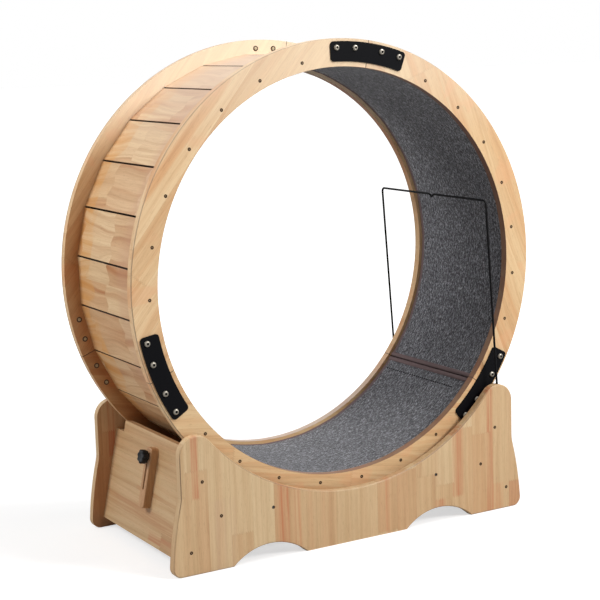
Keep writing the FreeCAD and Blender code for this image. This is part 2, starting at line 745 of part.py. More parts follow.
def bail():
    """Stiff wire swept along straight runs and bends in the bail's own plane."""
    leg = panelInside + HALF * size("panel_board")
    foot, top = -size("bail_sink"), size("bail_rise")
    half, dip = size("bail_dip_half"), top - size("bail_dip")
    route = bent([(-leg, foot), (-leg, top), (-half, top), (0, dip), (half, top), (leg, top), (leg, foot)],
                 [size("bail_bend"), 0, 0, 0, size("bail_bend")])
    body = newBody("teaser_bail")
    path = newSketch(body, "bail_path", "YZ_Plane")
    addOutline(path, route, closed=False)
    wire = newSketch(body, "bail_wire", "XY_Plane", "-Sizes.bail_sink")
    addOutline(wire, polygon(size("bail_wire"), count("bail_sides"), (0, -leg), overCorners=True))
    pipe = body.newObject("PartDesign::AdditivePipe", "bail_pipe")
    pipe.Profile = wire
    pipe.Spine = (path, [])
    pipe.Transition = "Right corner"
    doc.recompute()
    place(body, V(mouth[0], 0, mouth[1]), lean(-size("bail_tilt")))
    nodes.append(body)


bail()

# ---------------------------------------------------------------- checks and files
doc.recompute()
for item in doc.Objects:
    states = getattr(item, "State", [])
    if "Invalid" in states or "Error" in states:
        raise RuntimeError("%s did not build: %s" % (item.Name, states))
for node in nodes:
    shape = node.Shape
    if shape.isNull() or not shape.isValid() or not shape.Solids:
        raise RuntimeError("%s has no sound solid" % node.Label)
for node in nodes:
    node.Shape.exportStep("parts/%s.step" % node.Label)
print("%d nodes, %d solids" % (len(nodes), sum(len(node.Shape.Solids) for node in nodes)))
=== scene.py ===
import math
import bmesh
import bpy
import numpy as np
from mathutils import Matrix, Vector


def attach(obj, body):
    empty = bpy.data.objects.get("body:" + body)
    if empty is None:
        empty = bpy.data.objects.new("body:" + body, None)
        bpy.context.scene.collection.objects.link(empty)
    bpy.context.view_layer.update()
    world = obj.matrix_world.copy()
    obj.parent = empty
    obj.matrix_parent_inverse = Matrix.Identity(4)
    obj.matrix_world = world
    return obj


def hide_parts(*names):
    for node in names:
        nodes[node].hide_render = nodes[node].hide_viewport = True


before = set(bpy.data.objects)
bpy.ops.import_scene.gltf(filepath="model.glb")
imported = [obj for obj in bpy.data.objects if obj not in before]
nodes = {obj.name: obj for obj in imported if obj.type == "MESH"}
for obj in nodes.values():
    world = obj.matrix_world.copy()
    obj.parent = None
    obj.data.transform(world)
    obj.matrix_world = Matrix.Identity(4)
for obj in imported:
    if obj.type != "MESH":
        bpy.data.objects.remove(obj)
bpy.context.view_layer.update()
scene = bpy.context.scene
print("frame:", len(nodes), "nodes")

# the wheel's sizes and the base's, in metres and degrees, shared by the pieces that sit on them
wheel = {"height": 0.588, "joints": (81.0, 201.0, 321.0), "slats": 27, "slatPitch": 0.10774,
         "slatInside": 0.45383, "laneCircle": 0.463, "ringFace": 0.183, "trackHalf": 0.165, "rim": 0.5,
         "rimBevel": 0.0015, "bore": 0.441, "screwCircle": 0.4597, "boltCircle": 0.4805,
         "boltAngles": (-9.55, -4.05, 4.05, 9.55), "plateGauge": 0.0025}
base = {"face": 0.2185, "inside": 0.2005, "bevel": 0.0017,
        "screws": ((0.3763, 0.1963), (0.4078, 0.0497), (0.335, 0.1163))}


# a colour written as it looks on screen, 0 to 255, turned into linear light
def tint(red, green, blue):
    shown = [part / 255 for part in (red, green, blue)]
    light = [part / 12.92 if part < 0.04045 else ((part + 0.055) / 1.055) ** 2.4 for part in shown]
    return (*light, 1.0)


# wraps a socket of a material, so that plain sums add its Math nodes
class Signal:
    def __init__(self, paint, socket):
        self.paint, self.socket = paint, socket

    def maths(self, operation, *values):
        return self.paint.add("ShaderNodeMath", {"operation": operation}, values)

    def __add__(self, other): return self.maths("ADD", self, other)
    __radd__ = __add__
    def __sub__(self, other): return self.maths("SUBTRACT", self, other)
    def __rsub__(self, other): return self.maths("SUBTRACT", other, self)
    def __mul__(self, other): return self.maths("MULTIPLY", self, other)
    __rmul__ = __mul__
    def __truediv__(self, other): return self.maths("DIVIDE", self, other)
    def __rtruediv__(self, other): return self.maths("DIVIDE", other, self)
    def __pow__(self, other): return self.maths("POWER", self, other)
    def __gt__(self, other): return self.maths("GREATER_THAN", self, other)
    def __lt__(self, other): return self.maths("LESS_THAN", self, other)
    def whole(self): return self.maths("FLOOR", self)
    def part(self): return self.maths("FRACT", self)
    def size(self): return self.maths("ABSOLUTE", self)  # without its sign
    def sine(self): return self.maths("SINE", self)
    def angle(self, other): return self.maths("ARCTAN2", self, other)

    # 0 below low, 1 above high, an S between them
    def rise(self, low, high):
        return self.paint.add("ShaderNodeMapRange", {"interpolation_type": "SMOOTHSTEP"},
                              {"Value": self, "From Min": low, "From Max": high})


# one material, or the world, under construction
class Paint:
    def __init__(self, name, blocks=bpy.data.materials, shader="Principled BSDF"):
        self.material = blocks.new(name)
        self.material.use_nodes = True
        self.tree = self.material.node_tree
        self.shader = self.tree.nodes[shader]

    # adds a node of a kind, sets its settings first and its sockets after, and gives one output
    def add(self, kind, settings=None, sockets=(), output=0):
        node = self.tree.nodes.new(kind)
        for key, value in (settings or {}).items():
            if key == "stops":
                self.setStops(node.color_ramp, value)
            else:
                setattr(node, key, value)
        pairs = sockets.items() if isinstance(sockets, dict) else enumerate(sockets)
        for key, value in pairs:
            self.feed(node.inputs[key], value)
        return Signal(self, node.outputs[output])

    def setStops(self, ramp, stops):
        while len(ramp.elements) < len(stops):
            ramp.elements.new(1.0)
        for element, (place, colour) in zip(ramp.elements, stops):
            element.position, element.color = place, colour

    # links a signal to a socket, or sets a plain value on it
    def feed(self, socket, value):
        if isinstance(value, Signal):
            self.tree.links.new(value.socket, socket)
        else:
            socket.default_value = value

    # the object's own coordinates in metres, as three signals
    def place(self):
        return self.split(self.add("ShaderNodeTexCoord", output="Object"))

    # the piece's own flat coordinates in metres; the third is always 0
    def uv(self):
        return self.split(self.add("ShaderNodeTexCoord", output="UV"))

    def split(self, vector):
        return [self.add("ShaderNodeSeparateXYZ", None, [vector], axis) for axis in (0, 1, 2)]

    def vector(self, x, y, z):
        return self.add("ShaderNodeCombineXYZ", None, [x, y, z])

    def noise(self, x, y, z, detail=3.0, roughness=0.5, warp=0.0):
        return self.add("ShaderNodeTexNoise", None, {"Vector": self.vector(x, y, z), "Scale": 1.0,
                        "Detail": detail, "Roughness": roughness, "Distortion": warp})

    # a steady random number from 0 to 1 for each triple of whole numbers
    def dice(self, x, y, z):
        return self.add("ShaderNodeTexWhiteNoise", {"noise_dimensions": "3D"},
                        {"Vector": self.vector(x, y, z)})

    def ramp(self, factor, *stops):
        return self.add("ShaderNodeValToRGB", {"stops": stops}, [factor])

    # mixes two colours: sockets 0, 6 and 7 are a Mix node's factor and colours, output 2 its colour
    def blend(self, factor, low, high, kind="MIX"):
        return self.add("ShaderNodeMix", {"data_type": "RGBA", "blend_type": kind},
                        {0: factor, 6: low, 7: high}, 2)

    def bump(self, height, strength, distance):
        return self.add("ShaderNodeBump", None,
                        {"Strength": strength, "Distance": distance, "Height": height})

    # feeds the shader's sockets by name, an underscore standing for each space
    def finish(self, **sockets):
        for name, value in sockets.items():
            self.feed(self.shader.inputs[name.replace("_", " ")], value)
        return self.material


# Glued wood: lanes beside each other across the grain, each of blocks that meet in fingers.
# along, across and deep are places in metres; every lane and block has its own tone and figure,
# drawn by dice from its whole numbers. Gives the colour, the streaks and the relief.
def gluedWood(paint, along, across, deep, look):
    lane = (across / look["lane"] + look["seed"]).whole()
    laneLuck = paint.dice(lane, look["seed"], 1.7)
    fingers = ((across / look["finger"]).part() - 0.5).size() * look["comb"]
    run = (along + fingers) / look["block"] + laneLuck * 9.0  # each lane's blocks start elsewhere
    block = run.whole()
    luck = paint.dice(lane, block, look["seed"])
    second = paint.dice(block, lane, look["seed"] + 3.1)
    shift = luck * 7.0  # moves each block's figure to another part of the noise
    # slow figure that bends the grain, streaks drawn out along it, and fine pores
    sway = paint.noise(along * 3.0 + shift, across * 9.0, deep * 9.0 + shift, 2.0)
    bent = across + (sway - 0.5) * look["sway"]
    streaks = paint.noise(along * 2.2 + shift, bent * 75.0, deep * 75.0 + shift, 4.0, 0.6)
    broad = paint.noise(along * 1.3 + shift, bent * 26.0, deep * 26.0 + shift, 2.0, 0.5)
    rings = ((bent * look["rings"] + luck * 5.0 + streaks * 1.6) * 6.283).sine() * 0.5 + 0.5
    fine = paint.noise(along * 9.0, across * 520.0, deep * 520.0 + shift, 2.0)
    pores = paint.noise(along * 60.0 + shift, across * 1500.0, deep * 1500.0, 1.0).rise(0.62, 0.72)
    tone = paint.ramp(luck * 0.75 + second * 0.25, *look["tones"])
    warm = paint.blend(broad.rise(0.52, 0.72) * (second * 0.7 + 0.3) * look["warmth"], tone, look["streak"])
    ringed = paint.blend((rings ** 3.0) * (luck * 0.4 + 0.1) * look["warmth"], warm, look["streak"])
    shaded = paint.blend(streaks.rise(0.35, 0.75) * look["figure"], ringed, look["dark"], "MULTIPLY")
    grained = paint.blend(fine.rise(0.3, 0.8) * 0.16, shaded, look["dark"], "MULTIPLY")
    pored = paint.blend(pores * 0.3, grained, look["pore"], "MULTIPLY")
    # 1 on the glue lines: within a share of a lane or a block from its edges
    lanesClear = 1.0 - ((across / look["lane"] + look["seed"]).part() - 0.5).size().rise(0.485, 0.5)
    blocksClear = 1.0 - (run.part() - 0.5).size().rise(0.4972, 0.5)
    seams = 1.0 - lanesClear * blocksClear
    colour = paint.blend(seams * look["seams"], pored, look["pore"], "MULTIPLY")
    relief = streaks * 0.5 + fine * 0.35 - pores * 0.5 - seams * 0.4
    return colour, streaks, relief


# 1 inside a stripe (middle, half width, from, to), its long sides soft, its ends combed, and
# thinned by fine threads along the grain
def stripeMask(along, across, look, stripe):
    middle, half, low, high = stripe
    comb = ((across / look["finger"]).part() - 0.5).size() * look["comb"] * 1.4
    inside = 1.0 - (across - middle).size().rise(half * 0.7, half * 1.2)
    threads = along.paint.noise(along * 2.0, across * 260.0, middle * 50.0, 2.0)
    combed = along + comb
    return inside * (threads.rise(0.38, 0.58) * 0.5 + 0.5) * (combed > low) * (combed < high)


# wood with its stripes, each a stripe's four sizes, a share and a colour, and its marks and painted
# light and shade, each (mask function, share, colour, way of mixing), laid over the figure in turn
def woodMaterial(name, look, layout, marksAndPaintedLight=()):
    paint = Paint(name)
    along, across, deep = layout(paint)
    colour, streaks, relief = gluedWood(paint, along, across, deep, look)
    for *stripe, share, shade in look.get("stripes", ()):
        mask = stripeMask(along, across, look, stripe) * (streaks.rise(0.3, 0.68) * 0.85 + 0.15)
        colour = paint.blend(mask * share, colour, shade)
    for mask, share, shade, kind in marksAndPaintedLight:
        colour = paint.blend(mask(paint) * share, colour, shade, kind)
    return paint.finish(Base_Color=colour, Roughness=streaks * look["dull"] + look["rough"],
                        Normal=paint.bump(relief, look["relief"], look["depth"]))


# where the marks, painted light and painted shade on the wood lie, in metres: how near a face or an
# edge still counts as on it, how wide a line is, and the pairs of heights or radii between which one fades
# in or out
zones = {"faceSkin": 0.00004, "edgeSkin": 0.0002, "rimShade": 0.0026, "jointLine": 0.0008,
         "boreBrown": (0.45, 0.85), "boreGrey": (0.19, 0.36), "pale": (0.82, 1.06),
         "innerPale": (0.78, 1.0), "innerBrown": (0.62, 0.92), "besideSlats": (0.463, 0.50),
         "slatEdge": 0.46, "waistFoot": (0.12, 0.15), "waistTop": (0.245, 0.27),
         "panelLow": (0.10, 0.30), "blockMiddle": -0.010, "blockSide": (0.0116, 0.0133),
         "backSide": 0.1, "ringInside": 0.0005, "panelInside": 0.0007}


# distance from the wheel's line, and the depth and height beside it
def wheelPlace(paint):
    x, y, z = paint.place()
    return ((z - wheel["height"]) ** 2.0 + x * x) ** 0.5, y, z


# the bevelled rim of a ring board, darkened to a greyer brown by painted shade: near the rim and short
# of the face, and twice as deep on the back ring
def ringRimShade(paint):
    radius, y, _ = wheelPlace(paint)
    low = wheel["ringFace"] - zones["rimShade"] * ((y > 0.0) + 1.0)
    bevel = (y.size() > low) * (y.size() < wheel["ringFace"] - zones["faceSkin"])
    return (radius > wheel["rim"] - wheel["rimBevel"] * 0.97) * bevel  # just outside the face's edge


# a thin dark line on each of the three planes through the wheel's line where a ring's boards meet
def jointLines(paint):
    x, _, z = paint.place()
    up = z - wheel["height"]
    lines = 0.0
    for joint in wheel["joints"]:
        c, s = math.cos(math.radians(joint)), math.sin(math.radians(joint))
        lines = lines + ((x * s - up * c).size() < zones["jointLine"]) * ((x * c + up * s) > 0.0)
    return lines


# the bore of the front ring, painted shade: a darker brown than that of the back one
def frontBoreShade(paint):
    radius, y, _ = wheelPlace(paint)
    return (radius < wheel["bore"] + zones["edgeSkin"]) * (y < 0.0)


# painted shade: both bores brown towards the top
def upperBoreShade(paint):
    radius, _, z = wheelPlace(paint)
    return (radius < wheel["bore"] + zones["edgeSkin"]) * z.rise(*zones["boreBrown"])


# the back bore greys low down
def lowerBore(paint):
    radius, y, z = wheelPlace(paint)
    return (radius < wheel["bore"] + zones["edgeSkin"]) * (y > 0.0) * (1.0 - z.rise(*zones["boreGrey"]))


# soft pinkish patches a hand's width across
def pinkPatches(paint):
    x, y, z = paint.place()
    return paint.noise(x * 11.0, y * 11.0, z * 11.0, 2.0, 0.5, 0.4).rise(0.56, 0.64)


# painted light: the boards pale towards the wheel's top
def paintedTopLight(paint):
    return paint.place()[2].rise(*zones["pale"])


# 1 on the back ring's inner face, with the radius and the height there
def backFace(paint):
    radius, y, z = wheelPlace(paint)
    return radius, z, (y > zones["backSide"]) * (y < wheel["trackHalf"] + zones["ringInside"])


# that face gets a painted highlight at the top, and painted shade lower down, deepest beside the slats
def backPaintedLight(paint):
    _, z, face = backFace(paint)
    return face * z.rise(*zones["innerPale"])


def backPaintedShade(paint):
    radius, z, face = backFace(paint)
    fromSlats = 1.3 - radius.rise(*zones["besideSlats"]) * 0.6
    return face * (radius > zones["slatEdge"]) * (1.0 - z.rise(*zones["innerBrown"])) * fromSlats


# painted shade on the bevel round a panel's outer face: past the flat sides and short of the
# face; darkest at the waists, between the end board's foot and the ears, as a painted shadow
def panelRimShade(paint):
    _, y, z = paint.place()
    bevel = (y.size() > base["face"] - base["bevel"]) * (y.size() < base["face"] - zones["faceSkin"])
    waist = z.rise(*zones["waistFoot"]) * (1.0 - z.rise(*zones["waistTop"]))
    return bevel * (waist * 0.5 + 0.22)


# painted shade: the panels' inner faces are browner, most of all low down
def panelInside(paint):
    _, y, z = paint.place()
    inside = y.size() < base["inside"] + zones["panelInside"]
    return inside * (1.0 - z.rise(*zones["panelLow"]) * 0.5)


# painted shade: the brake block's two long sides are browner
def blockSideShade(paint):
    return (paint.place()[1] - zones["blockMiddle"]).size().rise(*zones["blockSide"])


# upright staves: the grain runs up
def uprightLayout(paint):
    x, y, z = paint.place()
    return z, x, y


# level staves: the grain runs across the base, from panel to panel, and the boards lean, so that
# their faces are a little longer than they are high
def levelLayout(paint):
    x, y, z = paint.place()
    return y, z * 1.02, x


# a board turned about the wheel's line, its grain along the chord of its own segment
def chordLayout(heading):
    def layout(paint):
        x, y, z = paint.place()
        c, s = math.cos(math.radians(heading)), math.sin(math.radians(heading))
        up = z - wheel["height"]
        return x * c + up * s, up * c - x * s, y
    return layout


# round the drum: the grain runs across the track and the lanes follow the rim
def drumLayout(paint):
    x, y, z = paint.place()
    up = z - wheel["height"]
    return y, (up.angle(x) + math.pi * 2) * wheel["laneCircle"], (up ** 2.0 + x * x) ** 0.5


# what the woods look like: lane, block, finger, comb, sway and depth are metres, rings are to a
# metre, tones run from the palest block to the darkest, and the other numbers are shares
brightWood = {"lane": 0.066, "block": 0.9, "finger": 0.0052, "comb": 0.009, "seed": 4.0, "sway": 0.06,
              "rings": 26.0, "warmth": 0.72, "figure": 0.38, "seams": 0.16, "rough": 0.40, "dull": 0.16,
              "relief": 0.3, "depth": 0.0004,
              "tones": [(0.0, tint(236, 208, 166)), (0.5, tint(228, 197, 152)), (1.0, tint(220, 184, 138))],
              "streak": tint(212, 146, 88), "dark": tint(206, 166, 122), "pore": tint(150, 110, 74)}
ringTones = ([(0.0, tint(238, 208, 164)), (0.5, tint(231, 197, 151)), (1.0, tint(224, 185, 136))],
             [(0.0, tint(234, 207, 163)), (0.5, tint(228, 197, 151)), (1.0, tint(220, 184, 137))],
             [(0.0, tint(232, 202, 156)), (0.5, tint(226, 192, 146)), (1.0, tint(218, 178, 130))])
red, rose = tint(192, 118, 78), tint(204, 142, 100)
panelWood = dict(brightWood, lane=0.052, block=0.42, seed=11.0, rings=40.0, sway=0.018, warmth=0.5,
                 figure=0.32,
                 tones=[(0.0, tint(222, 197, 156)), (0.45, tint(213, 182, 139)),
                        (0.8, tint(207, 169, 126)), (1.0, tint(203, 154, 114))],
                 streak=tint(198, 144, 102), dark=tint(196, 164, 124),
                 stripes=[(-0.392, 0.009, 0.165, 0.30, 0.9, red), (-0.186, 0.014, 0.0, 0.30, 0.95, red),
                          (-0.151, 0.008, 0.0, 0.30, 0.7, rose), (0.079, 0.007, 0.0, 0.30, 0.8, rose),
                          (0.271, 0.015, 0.055, 0.30, 0.9, red), (0.362, 0.010, 0.0, 0.30, 0.9, red),
                          (0.222, 0.014, 0.0, 0.056, 0.9, red), (0.383, 0.017, 0.0, 0.066, 0.6, rose),
                          (-0.330, 0.030, 0.0, 0.155, 0.4, tint(198, 162, 132)),
                          (0.323, 0.028, 0.0, 0.30, 0.45, tint(206, 158, 112))])
boardWood = dict(panelWood, lane=0.062, block=0.7, seed=5.0, rings=30.0, sway=0.03, warmth=0.7,
                 figure=0.48,
                 tones=[(0.0, tint(214, 184, 142)), (0.5, tint(203, 170, 127)), (1.0, tint(190, 152, 110))],
                 stripes=[(0.077, 0.017, -0.25, 0.25, 0.85, tint(180, 128, 86)),
                          (0.042, 0.010, -0.17, -0.03, 0.9, tint(188, 118, 82)),
                          (0.128, 0.005, -0.25, 0.06, 0.6, tint(184, 132, 90)),
                          (0.172, 0.011, 0.02, 0.16, 0.5, tint(190, 142, 100))])
plainWood = dict(boardWood, stripes=())
stopperWood = dict(plainWood, lane=0.2, block=2.0, seed=9.0,
                   tones=[(0.0, tint(204, 168, 128)), (0.5, tint(197, 155, 113)),
                          (1.0, tint(188, 142, 101))])
# the slats' lanes are the slats themselves; gap is half the width of the painted shade line between two
slatWood = dict(brightWood, lane=wheel["slatPitch"], block=0.155, comb=0.03, finger=0.05, seed=7.925,
                rings=24.0, sway=0.09, warmth=0.9, figure=0.46, gap=0.0021,
                yellowBack=(0.092, 0.108), pinkFront=(-0.09, -0.03),
                tones=[(0.0, tint(238, 209, 166)), (0.35, tint(228, 195, 150)),
                       (0.7, tint(216, 175, 130)), (1.0, tint(208, 158, 116))],
                streak=tint(188, 122, 66), dark=tint(186, 144, 102))

# both are painted shade: the bevel's dark line and the browner inner faces
panelShade = [(panelRimShade, 1.0, tint(134, 104, 78), "MIX"),
              (panelInside, 0.9, tint(226, 190, 166), "MULTIPLY")]
# painted shade on the block's long sides
blockShade = [(blockSideShade, 0.5, tint(232, 229, 215), "MULTIPLY")]
# pink patches and joint lines are the wood's own; the pale top and the back face's paler top are painted
# light, the rim, the bores' browning and the back face's browner foot painted shade
ringMarksAndPaintedLight = [(pinkPatches, 0.34, tint(228, 168, 122), "MIX"),
             (paintedTopLight, 0.3, tint(250, 236, 214), "MIX"),
             (ringRimShade, 0.5, tint(146, 126, 108), "MIX"),
             (frontBoreShade, 0.9, tint(158, 128, 112), "MULTIPLY"),
             (upperBoreShade, 0.9, tint(178, 144, 122), "MULTIPLY"),
             (lowerBore, 0.6, tint(206, 190, 184), "MIX"),
             (backPaintedLight, 0.35, tint(255, 244, 222), "MIX"),
             (backPaintedShade, 0.86, tint(204, 168, 136), "MULTIPLY"),
             (jointLines, 0.85, tint(60, 40, 28), "MIX")]
woods = {"panel": woodMaterial("panelWood", panelWood, uprightLayout, panelShade),
         "board": woodMaterial("boardWood", boardWood, levelLayout),
         "brace": woodMaterial("braceWood", dict(plainWood, lane=0.5, block=3.0, seed=2.0), levelLayout),
         "stopper": woodMaterial("stopperWood", stopperWood, uprightLayout, blockShade)}
# each of a ring's three boards has its own heading, seed and tones
for number, heading in enumerate((51.0, 171.0, 111.0), start=1):
    look = dict(brightWood, seed=4.0 + 2.3 * number, tones=ringTones[number - 1])
    woods["ring%d" % number] = woodMaterial("ringWood%d" % number, look, chordLayout(heading), ringMarksAndPaintedLight)


# the slats turn from a yellower wood at the back of the track to a pinker one at the front, and a
# painted highlight pales them towards the wheel's top
def slatMaterial():
    paint = Paint("slatWood")
    along, across, deep = drumLayout(paint)
    colour, streaks, relief = gluedWood(paint, along, across, deep, slatWood)
    sway = paint.noise(along * 12.0, across * 7.0, 0.0, 2.0) - 0.5
    back = (along + sway * 0.22).rise(*slatWood["yellowBack"])
    front = 1.0 - (along + sway * 0.14).rise(*slatWood["pinkFront"])
    yellowed = paint.blend(back * (streaks.rise(0.3, 0.7) * 0.6 + 0.1), colour, tint(214, 152, 78))
    pinked = paint.blend(front * 0.4, yellowed, tint(198, 150, 118))
    # painted highlight: paler towards the wheel's top
    topLit = paint.blend(paintedTopLight(paint) * 0.55, pinked, tint(238, 220, 202))
    # painted shade in the gaps: how far round the rim a point is from the nearest gap's middle
    lanes = across / slatWood["lane"] + slatWood["seed"]
    nearest = 0.5 - (lanes.part() - 0.5).size()
    gapShade = (nearest * slatWood["lane"]) < slatWood["gap"]
    return paint.finish(Base_Color=paint.blend(gapShade * 0.92, topLit, tint(46, 22, 10)),
                        Roughness=streaks * slatWood["dull"] + gapShade * 0.4 + slatWood["rough"],
                        Normal=paint.bump(relief, slatWood["relief"], slatWood["depth"]))


woods["slat"] = slatMaterial()


# powder coat: a near even colour, a little wear and a fine grit
def powderCoat(name, colour, rough, gloss=0.35):
    paint = Paint(name)
    x, y, z = paint.place()
    grit = paint.noise(x * 900.0, y * 900.0, z * 900.0, 2.0)
    wear = paint.noise(x * 14.0, y * 14.0, z * 14.0, 3.0)
    return paint.finish(Base_Color=paint.blend(wear * 0.2, colour, tint(26, 26, 29)),
                        Roughness=wear * 0.15 + rough, Normal=paint.bump(grit, 0.25, 0.0002),
                        Specular_IOR_Level=gloss)


# steel with a soft smear of a duller tone, which is also the rougher
def brightSteel(name, colour, dull, rough, metal=1.0):
    paint = Paint(name)
    x, y, z = paint.place()
    smear = paint.noise(x * 160.0, y * 160.0, z * 160.0, 3.0)
    return paint.finish(Base_Color=paint.blend(smear, colour, dull), Metallic=metal,
                        Roughness=smear * 0.2 + rough, Normal=paint.bump(smear, 0.1, 0.0002))


# dark nylon with faint marks, fine across the shafts and drawn out along them
def nylon(name):
    paint = Paint(name)
    x, y, z = paint.place()
    turned = (x * x + z * z) ** 0.5
    rod = paint.noise(turned * 900.0, y * 30.0, 0.0, 2.0)
    return paint.finish(Base_Color=paint.blend(rod * 0.3, tint(70, 66, 62), tint(38, 36, 34)),
                        Roughness=rod * 0.2 + 0.4, Normal=paint.bump(rod, 0.15, 0.0003))


# short heather pile: pale and dark loops a few millimetres long, run round the drum
def heatherPile(name):
    paint = Paint(name)
    run, wide, _ = paint.uv()
    loops = paint.noise(run * 170.0, wide * 370.0, 0.0, 2.0, 0.6, 0.6)
    flecks = paint.noise(run * 480.0 + 5.0, wide * 740.0, 3.0, 2.0, 0.7)
    drift = paint.noise(run * 14.0, wide * 22.0, 0.0, 3.0)
    strands = paint.noise(run * 55.0, wide * 230.0, 9.0, 2.0, 0.6)
    mixed = loops * 0.52 + flecks * 0.34 + strands * 0.26 - 0.06
    colour = paint.ramp(mixed, (0.37, tint(14, 13, 16)), (0.46, tint(54, 53, 58)),
                        (0.53, tint(112, 112, 118)), (0.62, tint(196, 198, 204)))
    shaded = paint.blend(drift.rise(0.3, 0.7) * 0.3, colour, tint(160, 160, 168), "MULTIPLY")
    return paint.finish(Base_Color=shaded, Roughness=0.95, Normal=paint.bump(mixed, 0.65, 0.003),
                        Sheen_Weight=0.2, Sheen_Roughness=0.6)


# woven tape: fine ribs across its run, over a finer thread
def tapeWeave(name, colour, deep):
    paint = Paint(name)
    run, wide, _ = paint.uv()
    ribs = (run * 2600.0).sine() * 0.5 + 0.5
    threads = paint.noise(run * 900.0, wide * 900.0, 0.0, 2.0)
    return paint.finish(Base_Color=paint.blend(ribs * 0.4 + threads * 0.35, colour, deep), Roughness=0.85,
                        Normal=paint.bump(ribs * 0.6 + threads * 0.4, 0.5, 0.0006))


finishes = {
    "plate": powderCoat("plateBlack", tint(5, 5, 8), 0.5, 0.08),
    "wire": powderCoat("wireBlack", tint(7, 7, 9), 0.45, 0.12),
    "knob": powderCoat("knobBlack", tint(13, 15, 18), 0.45, 0.3),
    "bolt": brightSteel("boltSteel", tint(184, 178, 166), tint(120, 113, 103), 0.3),
    "insert": brightSteel("insertSteel", tint(104, 86, 66), tint(66, 50, 36), 0.5, 0.6),
    "boltEnd": brightSteel("boltEndSteel", tint(196, 184, 158), tint(140, 124, 98), 0.4, 0.8),
    "backing": powderCoat("carpetBacking", tint(22, 20, 19), 0.9, 0.1),
    "screw": brightSteel("screwSteel", tint(82, 58, 36), tint(46, 32, 20), 0.5, 0.6),
    # painted shade: a dark finish inside the bolts' hexagon sockets and the screws' crosses
    "socket": powderCoat("socketShade", tint(26, 20, 16), 0.7),
    "shaft": nylon("shaftNylon"),
    "pile": heatherPile("heatherPile"),
    "tape": tapeWeave("mauveTape", tint(124, 104, 104), tint(84, 68, 68)),
    "thread": powderCoat("stitchThread", tint(20, 20, 24), 0.8),
}
print("materials:", len(woods) + len(finishes))


# gives all of a CAD node's slots one material
def dressNode(name, material):
    for spot in nodes[name].material_slots:
        spot.material = material


# by the start of the node's name; a ring's boards end in their numbers
coats = {"slat_": woods["slat"], "panel_": woods["panel"], "end_board": woods["board"],
         "cross_brace": woods["brace"], "join_plate": finishes["plate"],
         "roller_shaft": finishes["shaft"], "brake_stud": finishes["bolt"]}
for name in nodes:
    if name.startswith("ring_"):
        dressNode(name, woods["ring" + name[-1]])
    for start, material in coats.items():
        if name.startswith(start):
            dressNode(name, material)


# quads between neighbours of an n by m grid of points, wrapped round in either direction
def gridQuads(n, m, wrapN=False, wrapM=False):
    i, j = np.meshgrid(np.arange(n if wrapN else n - 1), np.arange(m if wrapM else m - 1), indexing="ij")
    i, j = i.ravel(), j.ravel()
    k, l = (i + 1) % n, (j + 1) % m
    return np.stack([i * m + j, i * m + l, k * m + l, k * m + j], axis=1)


# a mesh object at the origin from points and quads; doubles are merged, faces turned outwards and
# edges sharper than smoothBelow degrees kept; inside marks the quads that wear the inner finish
def makePiece(name, points, quads, material, body, uv=None, smoothBelow=40.0, inner=None,
              inside=None):
    mesh = bpy.data.meshes.new(name)
    mesh.from_pydata(points.reshape(-1, 3).tolist(), [], quads.tolist())
    if inside is not None:
        mesh.polygons.foreach_set("material_index", inside.astype(np.int32))
    if uv is not None:
        layer = mesh.uv_layers.new(name="Flat")
        corners = np.zeros(len(mesh.loops), np.int64)
        mesh.loops.foreach_get("vertex_index", corners)
        layer.data.foreach_set("uv", uv.reshape(-1, 2)[corners].ravel())
    work = bmesh.new()
    work.from_mesh(mesh)
    bmesh.ops.remove_doubles(work, verts=work.verts, dist=2e-6)
    bmesh.ops.dissolve_degenerate(work, edges=work.edges, dist=1e-6)
    bmesh.ops.recalc_face_normals(work, faces=work.faces)
    for face in work.faces:
        face.smooth = True
    for edge in work.edges:
        if len(edge.link_faces) == 2 and edge.calc_face_angle(0.0) > math.radians(smoothBelow):
            edge.smooth = False
    work.to_mesh(mesh)
    work.free()
    for finish in (material, inner) if inner else (material,):
        mesh.materials.append(finish)
    piece = bpy.data.objects.new(name, mesh)
    scene.collection.objects.link(piece)
    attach(piece, body)
    return piece


# the same turned form at many places: profile rows are (radius, height) pairs, sides points go
# round, outline(turn, radius) may bend the rows, and each place is (origin, axis)
def turnedCopies(profile, sides, places, outline=None):
    turn = np.linspace(0, 2 * np.pi, sides, endpoint=False)
    radius, height = (np.repeat(column[:, None], sides, axis=1) for column in np.array(profile, float).T)
    if outline:
        radius = outline(turn, radius)
    local = np.stack([radius * np.cos(turn), radius * np.sin(turn), height], axis=-1).reshape(-1, 3)
    origins = np.array([origin for origin, axis in places])
    turns = np.array([np.array(Vector((0, 0, 1)).rotation_difference(Vector(axis)).to_matrix())
                      for origin, axis in places])
    points = np.einsum("cij,nj->cni", turns, local) + origins[:, None, :]
    quads = gridQuads(len(profile), sides, wrapM=True)
    shifts = np.arange(len(places))[:, None, None] * len(local)
    return points, (quads[None] + shifts).reshape(-1, 4)


# one piece with a steel fastener at every place, the last two bands of its profile in the inner finish
def fasteners(name, profile, sides, places, body, finish, inner, outline=None, smoothBelow=35):
    points, quads = turnedCopies(profile, sides, places, outline)
    band = np.repeat(np.arange(len(profile) - 1), sides)
    inside = np.tile(band >= len(profile) - 3, len(places))
    return makePiece(name, points, quads, finishes[finish], body, smoothBelow=smoothBelow,
                     inner=finishes[inner], inside=inside)


# a point of the wheel at an angle seen from the front, radius and depth
def onWheel(angle, radius, y):
    turn = math.radians(angle)
    return (radius * math.cos(turn), y, wheel["height"] + radius * math.sin(turn))


# places on both rings at angles from each joint, as (origin, axis) pairs; facing -1 looks inwards
def onRings(angles, circle, depth, facing=1):
    return [(onWheel(joint + angle, circle, side * depth), (0, side * facing, 0))
            for side in (-1, 1) for joint in wheel["joints"] for angle in angles]


